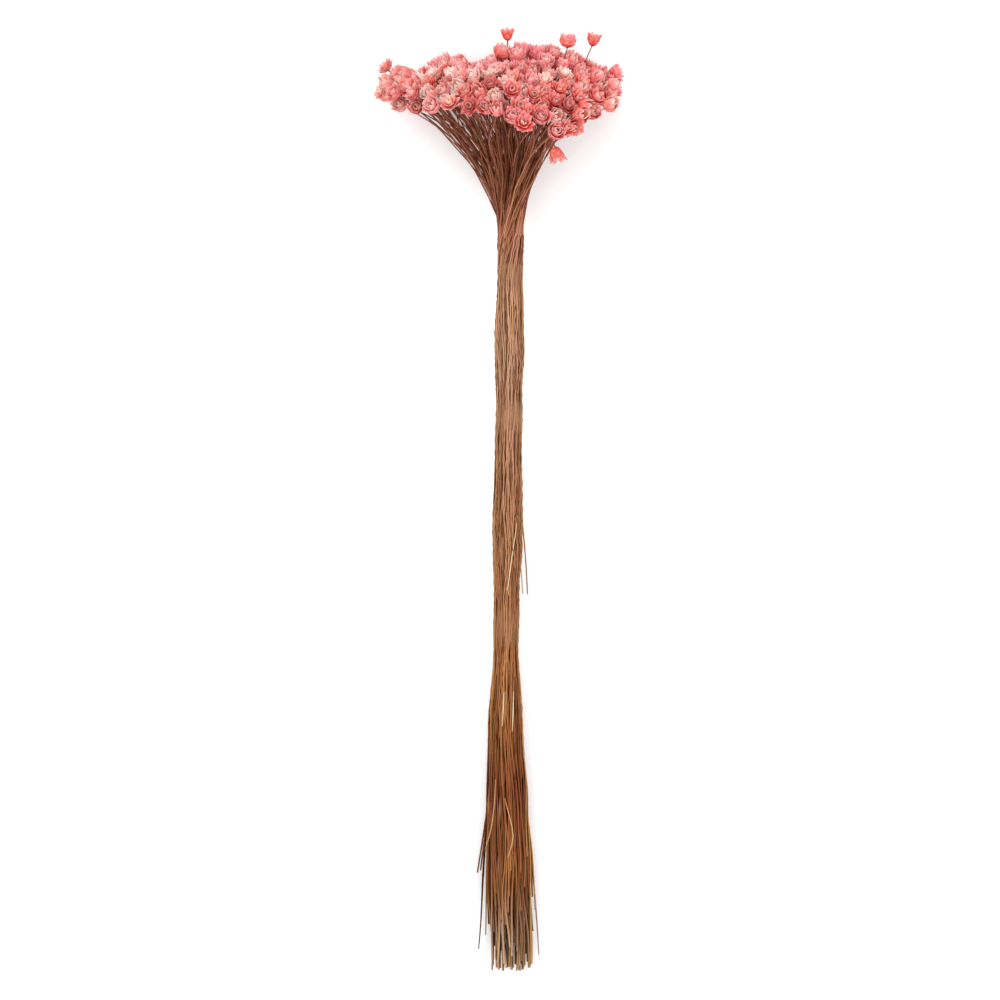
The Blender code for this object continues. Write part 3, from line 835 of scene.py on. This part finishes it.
def add_bract(builder, draw, turn, row, row_share, point_starts):
    """One thin pointed bract, rooted on the cup and bent along its length and across."""
    count, length, width, leans = row
    reach_layer = builder.verts.layers.float["reach"]
    side_layer = builder.verts.layers.float["side"]
    row_layer = builder.verts.layers.float["row"]
    grain_layer = builder.verts.layers.float["grain"]
    length *= draw.uniform(0.88, 1.10)
    width *= draw.uniform(0.9, 1.1)
    opened = draw.uniform(-5.0, 5.0)
    curl = draw.uniform(-8.0, 12.0)
    slant = draw.uniform(-0.06, 0.06)
    grain = draw.random()
    root_height = LOWEST_ROOT + ROOTS_RISE * row_share
    rise = (root_height - CUP_MIDDLE) / CUP_HEIGHT
    root_radius = CUP_RADIUS * math.sqrt(max(0.2, 1.0 - rise * rise)) * (1.0 - 0.2 * row_share)
    spine = [(root_radius, root_height, 0.0)]
    for step in range(BRACT_ROWS):
        share = (step + 0.5) / BRACT_ROWS
        lean = math.radians(read_between(leans, share) + opened + curl * share * share)
        radius, height, _ = spine[-1]
        piece = length / BRACT_ROWS
        spine.append((radius + math.sin(lean) * piece, height + math.cos(lean) * piece, lean))
    spine[0] = (spine[0][0], spine[0][1], spine[1][2])
    hug = HUG * width
    for vert in bmesh.ops.create_grid(builder, x_segments=BRACT_COLUMNS, y_segments=BRACT_ROWS,
                                      size=0.5)["verts"]:
        share = vert.co.y + 0.5
        side = 2.0 * vert.co.x
        radius, height, lean = spine[round(share * BRACT_ROWS)]
        wrap = side * 0.5 * width * bract_outline(share, point_starts) / hug
        lift = (1.0 - math.cos(wrap)) * hug + draw.uniform(-0.05, 0.05) * share
        outwards = radius - math.cos(lean) * lift
        sideways = math.sin(wrap) * hug + slant * share * length
        vert.co = (outwards * math.cos(turn) - sideways * math.sin(turn),
                   outwards * math.sin(turn) + sideways * math.cos(turn),
                   height + math.sin(lean) * lift)
        vert[reach_layer] = share
        vert[side_layer] = side
        vert[row_layer] = row_share
        vert[grain_layer] = grain


def bloom_mesh(form, variant):
    """One bloom at the origin, facing +Z: its cup first, then its rows of bracts."""
    draw = random.Random(f"{SEED_OF_BRACTS} {form} {variant}")
    builder = bmesh.new()
    for name in BRACT_LAYERS:
        builder.verts.layers.float.new(name)
    rows = BLOOM_ROWS[form]
    for number, row in enumerate(rows):
        row_share = number / (len(rows) - 1)
        first = draw.uniform(0.0, 2.0 * math.pi)
        for count in range(row[0]):
            turn = first + 2.0 * math.pi * (count + draw.uniform(-0.14, 0.14)) / row[0]
            add_bract(builder, draw, turn, row, row_share, POINT_STARTS[form])
    bmesh.ops.solidify(builder, geom=builder.faces[:], thickness=BRACT_THICKNESS)
    cup = bmesh.ops.create_uvsphere(builder, u_segments=10, v_segments=6, radius=1.0)["verts"]
    for vert in cup:
        slim = 1.0 - 0.55 * clamped(-vert.co.z) ** 2
        vert.co = (vert.co.x * CUP_RADIUS * slim, vert.co.y * CUP_RADIUS * slim,
                   vert.co.z * CUP_HEIGHT + CUP_MIDDLE)
    bmesh.ops.recalc_face_normals(builder, faces=builder.faces)
    mesh = bpy.data.meshes.new(f"{form}_{variant}")
    builder.to_mesh(mesh)
    builder.free()
    return mesh


def bloom_matrix(bloom):
    turned = bloom.facing.to_track_quat("Z", "Y") @ Quaternion((0.0, 0.0, 1.0), bloom.turn)
    return Matrix.Translation(bloom.base) @ turned.to_matrix().to_4x4() @ Matrix.Scale(bloom.size, 4)


def place_copies(builder, mesh, bloom, number):
    """Adds a copy of a bloom's mesh on its stem, a little out of true, and laid in the frame."""
    before = len(builder.verts)
    builder.from_mesh(mesh)
    builder.verts.ensure_lookup_table()
    added = builder.verts[before:]
    fade = builder.verts.layers.float["fade"]
    glow = builder.verts.layers.float["glow"]
    dull = builder.verts.layers.float["dull"]
    shift = Vector((number * NOISE_SHIFT, 0.0, 0.0))
    for vert in added:
        bend = noise.noise_vector(vert.co * NOISE_SCALE + shift) * NOISE_BEND
        vert.co += bend * clamped(vert.co.z / NOISE_GROWS_TO)
        vert[fade] = bloom.fade
        vert[glow] = bloom.glow
        vert[dull] = bloom.dull
    bmesh.ops.transform(builder, matrix=LAID @ bloom_matrix(bloom), verts=added)
    for vert in added:
        vert.co = kept_in_place(vert.co)


def make_bract_material():
    """Dyed papery bract, paler and pinker to its tip, finely veined; its deep red root is partly painted
    shade.
    """
    material, start = new_material("coral_bract")
    reach = start.attribute("reach")
    side = start.attribute("side")
    row = start.attribute("row")
    grain = start.attribute("grain")
    fade = start.attribute("fade")
    glow = start.attribute("glow")
    # The coral and pink ramps start at a deep red root, partly the bract's own colour and partly painted
    # shade where the roots sit deep in the bloom.
    coral = reach.ramp([
        (0.0, srgb(206, 40, 16)),
        (0.3, srgb(240, 66, 36)),
        (0.62, srgb(244, 90, 75)),
        (0.86, srgb(249, 118, 107)),
        (1.0, srgb(254, 172, 166)),
    ])
    pink = reach.ramp([
        (0.0, srgb(200, 42, 30)),
        (0.3, srgb(234, 68, 54)),
        (0.62, srgb(242, 99, 99)),
        (1.0, srgb(254, 174, 182)),
    ])
    cream = reach.ramp([
        (0.0, srgb(240, 148, 116)),
        (0.5, srgb(252, 212, 194)),
        (1.0, srgb(255, 246, 240)),
    ])
    colour = glow.blend(coral, pink)
    inner = ((row - 0.55) * 2.2).limited()
    edge = (side * side) ** 2.0 * reach
    paled = (fade + 0.46 * inner + 0.16 * edge + 0.14 * (grain - 0.5)).limited()
    colour = paled.blend(colour, cream)
    # A muted rose: a little on some blooms at random, as tone, and strongly on the listed ones, as
    # painted shade.
    colour = (start.attribute("dull") * 0.6).blend(colour, srgb(178, 76, 78))
    lines = start.node("ShaderNodeCombineXYZ", {0: side * 5.0, 1: reach * 1.3, 2: grain * 31.0})
    veins = start.noise(lines, 2.2, 2.0, 0.55)
    shade = 0.71 + 0.31 * veins + 0.15 * paled
    veil = start.node("ShaderNodeCombineColor", {0: shade, 1: shade, 2: shade})
    colour = start.node("ShaderNodeMix", {0: 1.0, 6: colour, 7: veil},
                        {"data_type": "RGBA", "blend_type": "MULTIPLY"}, out=2)
    bump = start.node("ShaderNodeBump", {"Strength": 0.4, "Distance": 0.0002, "Height": veins})
    finish_material(material, {"Base Color": colour, "Roughness": 0.48 + 0.2 * veins,
                               "Specular IOR Level": 0.22, "Subsurface Weight": 0.25,
                               "Subsurface Scale": 0.001, "Subsurface Radius": (1.0, 0.45, 0.35),
                               "Normal": bump})
    return material


bract_material = make_bract_material()
# Without a seed, the noise that bends bracts and florets would start from the clock.
noise.seed_set(SEED_OF_BRACTS)
draw = random.Random(SEED_OF_BRACTS)
FADED = 0.20
LEFT_FADED = 0.22
LEFT_FADED_X = -18.0
PINKER_FROM_Y = 210.0
PINKER_OVER = 20.0
for bloom in blooms:
    bloom.fade = FADED * draw.random() ** 2
    if bloom.base.x < LEFT_FADED_X:
        bloom.fade += LEFT_FADED * draw.random()
    pinker = 0.5 * clamped((bloom.base.y - PINKER_FROM_Y) / PINKER_OVER)
    bloom.glow = draw.random() ** 1.5 * (1.0 - pinker) + pinker
    bloom.dull = 0.3 * draw.random() ** 3
    bloom.variant = draw.randrange(VARIANTS[bloom.form])

# Blooms that kept less dye, then blooms darkened towards a muted rose as painted shade: (place along and
# across the plan, how pale or how dark)
PALE_BLOOMS = [
    (-42.0, 219.0, 0.95),
    (-38.5, 213.5, 0.80),
    (-26.0, 229.0, 0.80),
    (-36.0, 225.0, 0.45),
    (-4.5, 225.0, 0.65),
    (-10.0, 220.0, 0.50),
    (-23.0, 214.5, 0.55),
    (-29.5, 208.5, 0.55),
    (-50.5, 208.0, 0.35),
    (-4.5, 210.0, 0.50),
    (3.5, 220.0, 0.45),
    (21.0, 223.0, 0.45),
    (32.5, 222.0, 0.55),
    (24.0, 217.5, 0.40),
    (11.0, 211.0, 0.50),
    (30.5, 204.0, 0.45),
]
PAINTED_SHADE_BLOOMS = [
    (-3.5, 219.0, 0.9),
    (3.5, 207.0, 1.0),
    (34.5, 208.0, 0.9),
    (-21.5, 205.0, 0.8),
    (-30.0, 222.0, 0.7),
    (54.0, 214.5, 0.6),
]
BLOOM_MIDDLE = 4.0
HIGHER_IS_SEEN = 0.2


def seen_bloom(x, y):
    """The bloom that shows at this place of the plan from above."""
    def cost(bloom):
        middle = bloom.base + bloom.facing * BLOOM_MIDDLE
        return math.hypot(middle.x - x, middle.y - y) - HIGHER_IS_SEEN * middle.z
    return min(blooms, key=cost)


for x, y, amount in PALE_BLOOMS:
    seen_bloom(x, y).fade = amount
for x, y, amount in PAINTED_SHADE_BLOOMS:
    seen_bloom(x, y).dull = amount

# Each piece: (name, forms, which of the blooms of those forms it holds)
BLOOM_PIECES = [
    ("blooms_open_first", ("star",), 0),
    ("blooms_open_second", ("star",), 1),
    ("blooms_standing_first", ("cup", "goblet"), 0),
    ("blooms_standing_second", ("cup", "goblet"), 1),
    ("blooms_closed", ("bud",), None),
]
for piece_name, forms, half in BLOOM_PIECES:
    patterns = {(form, variant): bloom_mesh(form, variant)
                for form in forms for variant in range(VARIANTS[form])}
    builder = bmesh.new()
    for name in BRACT_LAYERS:
        builder.verts.layers.float.new(name)
    for number, bloom in enumerate(blooms):
        if bloom.form in forms and half in (None, number % 2):
            place_copies(builder, patterns[bloom.form, bloom.variant], bloom, number)
    mesh = bpy.data.meshes.new(piece_name)
    builder.to_mesh(mesh)
    builder.free()
    mesh.shade_smooth()
    mesh.set_sharp_from_angle(angle=math.radians(52))
    mesh.materials.append(bract_material)
    piece = bpy.data.objects.new(piece_name, mesh)
    bpy.context.scene.collection.objects.link(piece)
    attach(piece, "root")
    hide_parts("blooms")
    for pattern in patterns.values():
        bpy.data.meshes.remove(pattern)

# Florets
# The dry tuft of tiny tube-shaped florets in the middle of each opened bloom, tan to greenish
# straw in colour. They stand close together on top of the cup.

FLORETS = 17
FLORET_RADIUS = 0.20
FLORET_HEIGHT = 0.85
TUFT_RADIUS = 1.02
TUFT_BASE = 2.25
TUFT_SWELL = 0.25
TUFT_LEAN = 0.35


def tuft_mesh():
    builder = bmesh.new()
    height = builder.verts.layers.float.new("height")
    draw = random.Random(SEED_OF_BRACTS)
    for count in range(FLORETS):
        share = math.sqrt((count + 0.5) / FLORETS)
        turn = count * GOLDEN_ANGLE
        tall = FLORET_HEIGHT * draw.uniform(0.75, 1.15)
        foot = Vector((math.cos(turn) * share * TUFT_RADIUS, math.sin(turn) * share * TUFT_RADIUS,
                       TUFT_BASE + TUFT_SWELL * (1.0 - share * share)))
        lean = Matrix.Rotation(TUFT_LEAN * share, 4, Vector((-math.sin(turn), math.cos(turn), 0.0)))
        stand = Matrix.Translation(foot) @ lean @ Matrix.Translation((0.0, 0.0, 0.5 * tall))
        made = bmesh.ops.create_cone(builder, cap_ends=True, segments=5, radius1=FLORET_RADIUS,
                                     radius2=0.7 * FLORET_RADIUS, depth=tall)["verts"]
        for vert in made:
            vert[height] = 1.0 if vert.co.z > 0.0 else 0.0
        bmesh.ops.transform(builder, matrix=stand, verts=made)
    mesh = bpy.data.meshes.new("tuft")
    builder.to_mesh(mesh)
    builder.free()
    return mesh


tuft = tuft_mesh()
builder = bmesh.new()
for name in ("height", "fade", "glow", "dull"):
    builder.verts.layers.float.new(name)
for number, bloom in enumerate(blooms):
    if bloom.form != "bud":
        place_copies(builder, tuft, bloom, number)
mesh = bpy.data.meshes.new("bloom_florets")
builder.to_mesh(mesh)
builder.free()
bpy.data.meshes.remove(tuft)
material, start = new_material("dry_floret")
speckle = start.noise(start.node("ShaderNodeTexCoord", out=3), 1500.0)
tips = start.attribute("height").ramp([(0.0, srgb(150, 96, 62)), (1.0, srgb(206, 176, 126))])
colour = (start.attribute("glow") * 0.5).blend(tips, srgb(196, 182, 132))
colour = (speckle * 0.5).blend(colour, srgb(150, 110, 70))
finish_material(material, {"Base Color": colour, "Roughness": 0.7 + 0.1 * speckle})
mesh.materials.append(material)
piece = bpy.data.objects.new("bloom_florets", mesh)
bpy.context.scene.collection.objects.link(piece)
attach(piece, "root")
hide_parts("blooms")

# Bands
# Three strips of thin clear film wrapped tight round the bundle, which hold it together. Each
# follows the stems under it in shallow ripples, and turns them a little paler and smoother.

# Each band: (node, middle along the bunch, width, how much of a film shows)
BANDS = [
    ("tie_upper", 118.0, 13.0, 1.0),
    ("tie_middle", 44.0, 18.0, 0.9),
    ("tie_lower", -68.0, 22.0, 0.55),
]
FILM_WALL = 0.06
FILM_LIFT = 0.12
FILM_SIDES = 96
FILM_ROWS = 10

material, start = new_material("clear_film")
place = start.node("ShaderNodeTexCoord", out=3)
drawn_out = start.node("ShaderNodeMapping", {"Vector": place, "Scale": (1.0, 0.25, 1.0)})
wrinkle = start.noise(drawn_out, 600.0)
covering = (0.12 + 0.16 * wrinkle) * start.attribute("shine")
bump = start.node("ShaderNodeBump", {"Strength": 0.3, "Distance": 0.0002, "Height": wrinkle})
finish_material(material, {"Base Color": srgb(184, 134, 94), "Roughness": 0.30 + 0.25 * wrinkle,
                           "Alpha": covering, "Normal": bump})

for node_name, middle, width, shown in BANDS:
    builder = bmesh.new()
    shine = builder.verts.layers.float.new("shine")
    made = bmesh.ops.create_grid(builder, x_segments=FILM_SIDES, y_segments=FILM_ROWS, size=0.5)
    for vert in made["verts"]:
        from_top = 0.5 - vert.co.y
        crisp_top = 1.0 - 0.8 * from_top
        soft_ends = 1.2 * math.sin(math.pi * from_top)
        vert[shine] = shown * (crisp_top if node_name == "tie_upper" else soft_ends)
        turn = 2.0 * math.pi * vert.co.x
        y = middle + width * vert.co.y
        fine_ripple = 0.10 * math.sin(turn * 23.0 + 0.4 * math.sin(y))
        broad_ripple = 0.08 * math.sin(turn * 9.0 + 0.2 * y)
        reach = bundle_value(y, 2) + FILM_LIFT + (fine_ripple + broad_ripple)
        vert.co = bundle_middle(y) + Vector((math.cos(turn), 0.0, math.sin(turn) * PRESSED)) * reach
    bmesh.ops.remove_doubles(builder, verts=builder.verts, dist=0.001)
    bmesh.ops.recalc_face_normals(builder, faces=builder.faces)
    bmesh.ops.solidify(builder, geom=builder.faces[:], thickness=FILM_WALL)
    bmesh.ops.recalc_face_normals(builder, faces=builder.faces)
    bmesh.ops.transform(builder, matrix=LAID, verts=builder.verts)
    mesh = bpy.data.meshes.new(node_name + "_film")
    builder.to_mesh(mesh)
    builder.free()
    mesh.shade_smooth()
    mesh.set_sharp_from_angle(angle=math.radians(50))
    mesh.materials.append(material)
    piece = bpy.data.objects.new(node_name + "_film", mesh)
    bpy.context.scene.collection.objects.link(piece)
    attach(piece, "root")
    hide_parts(node_name)

# Floor, light and camera
# A plain pale surface under soft studio light. The camera looks straight down on the bunch,
# with the head at the top of the picture.

FLOOR_SIZE = 8.0
builder = bmesh.new()
bmesh.ops.create_grid(builder, x_segments=1, y_segments=1, size=0.5 * FLOOR_SIZE)
mesh = bpy.data.meshes.new("floor")
builder.to_mesh(mesh)
builder.free()
material, start = new_material("pale_floor")
finish_material(material, {"Base Color": (0.96, 0.96, 0.96), "Roughness": 0.9, "Specular IOR Level": 0.1})
mesh.materials.append(material)
floor = bpy.data.objects.new("floor", mesh)
bpy.context.scene.collection.objects.link(floor)

STUDIO_BRIGHTNESS = 1.02
world = bpy.data.worlds.new("studio")
world.use_nodes = True
world.node_tree.nodes["Background"].inputs["Color"].default_value = (1.0, 1.0, 1.0, 1.0)
world.node_tree.nodes["Background"].inputs["Strength"].default_value = STUDIO_BRIGHTNESS
bpy.context.scene.world = world
bpy.context.scene.view_settings.view_transform = "Standard"

# Each lamp: (name, place, size, power)
LAMPS = [
    ("key", (-0.5, 0.55, 1.9), 1.9, 22.0),
    ("fill", (0.8, -0.3, 1.7), 1.6, 8.0),
]
AIM = Vector((0.0, 0.12, 0.03))
for name, place, size, power in LAMPS:
    light = bpy.data.lights.new(name, "AREA")
    light.shape = "DISK"
    light.size = size
    light.energy = power
    lamp = bpy.data.objects.new(name, light)
    lamp.location = place
    lamp.rotation_euler = (AIM - Vector(place)).to_track_quat("-Z", "Y").to_euler()
    bpy.context.scene.collection.objects.link(lamp)

CAMERA_HEIGHT = 3.5
FRAME_WIDTH = 0.529
PLAN_HEIGHT = 0.03
SENSOR_WIDTH = 36.0
camera_data = bpy.data.cameras.new("camera")
camera_data.sensor_width = SENSOR_WIDTH
camera_data.lens = SENSOR_WIDTH * (CAMERA_HEIGHT - PLAN_HEIGHT) / FRAME_WIDTH
camera_data.clip_end = 20.0
camera = bpy.data.objects.new("camera", camera_data)
plan_middle = LAID @ Vector((0.0, 0.0, 0.0))
camera.location = (plan_middle.x, plan_middle.y, CAMERA_HEIGHT)
bpy.context.scene.collection.objects.link(camera)
bpy.context.scene.camera = camera

bpy.context.view_layer.update()
